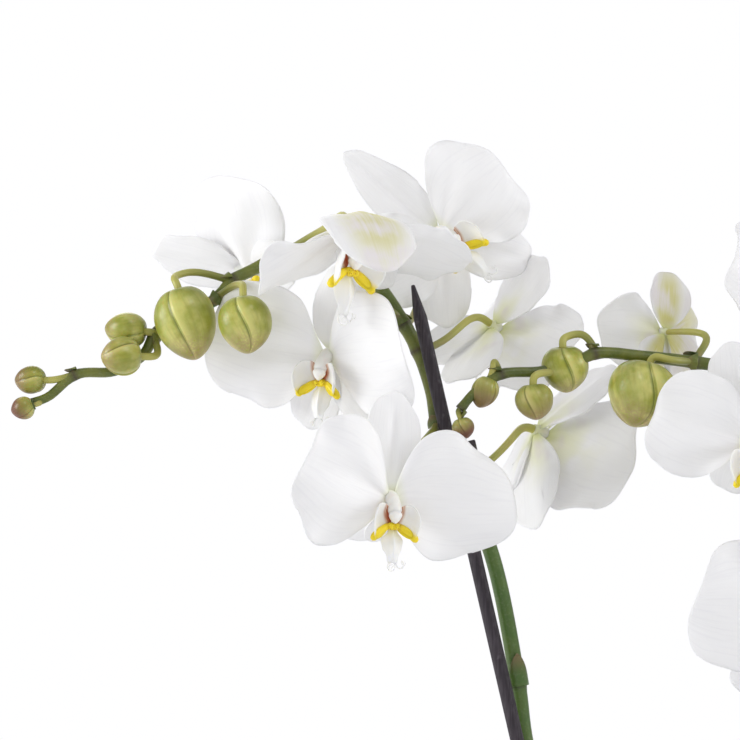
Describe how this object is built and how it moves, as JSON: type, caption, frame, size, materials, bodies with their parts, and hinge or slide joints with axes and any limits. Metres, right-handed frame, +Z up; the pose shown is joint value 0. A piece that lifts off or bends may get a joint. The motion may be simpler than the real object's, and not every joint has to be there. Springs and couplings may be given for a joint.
{
  "type": "potted moth orchid",
  "caption": "Potted moth orchid with leaning sprays of white blooms and green buds, strap leaves, bark and stakes in a round glazed pot.",
  "frame": {"origin": "middle of the pot's flat underside", "axes": "+Z up along the plant's height, +X to the right in the front view, -Y towards the front, from which the blooms are seen"},
  "size_m": [0.4819, 0.1887, 0.6557],
  "materials": {
    "glaze": "satin",
    "bark": "matte",
    "crown": "satin",
    "leaf": "satin",
    "stem": "satin",
    "petal": "satin",
    "lip": "satin",
    "stake": "matte",
    "clip": "gloss"
  },
  "bodies": {
    "root": {"pot": "glaze", "bark": "bark", "crown": "crown", "leaf_1": "leaf", "leaf_2": "leaf", "leaf_3": "leaf", "leaf_4": "leaf", "leaf_5": "leaf", "leaf_6": "leaf", "stake_left": "stake", "stake_right": "stake", "clip_left_1": "clip", "clip_left_2": "clip", "clip_right_1": "clip", "clip_right_2": "clip", "spray_left": "stem", "spray_right": "stem", "bloom_left_1": "petal", "lip_left_1": "lip", "bloom_left_2": "petal", "lip_left_2": "lip", "bloom_left_3": "petal", "lip_left_3": "lip", "bloom_left_4": "petal", "lip_left_4": "lip", "bloom_left_5": "petal", "lip_left_5": "lip", "bloom_left_6": "petal", "lip_left_6": "lip", "bloom_left_7": "petal", "lip_left_7": "lip", "bloom_right_1": "petal", "lip_right_1": "lip", "bloom_right_2": "petal", "lip_right_2": "lip", "bloom_right_3": "petal", "lip_right_3": "lip", "bloom_right_4": "petal", "lip_right_4": "lip", "bloom_right_5": "petal", "lip_right_5": "lip", "bloom_right_6": "petal", "lip_right_6": "lip"}
  },
  "joints": []
}
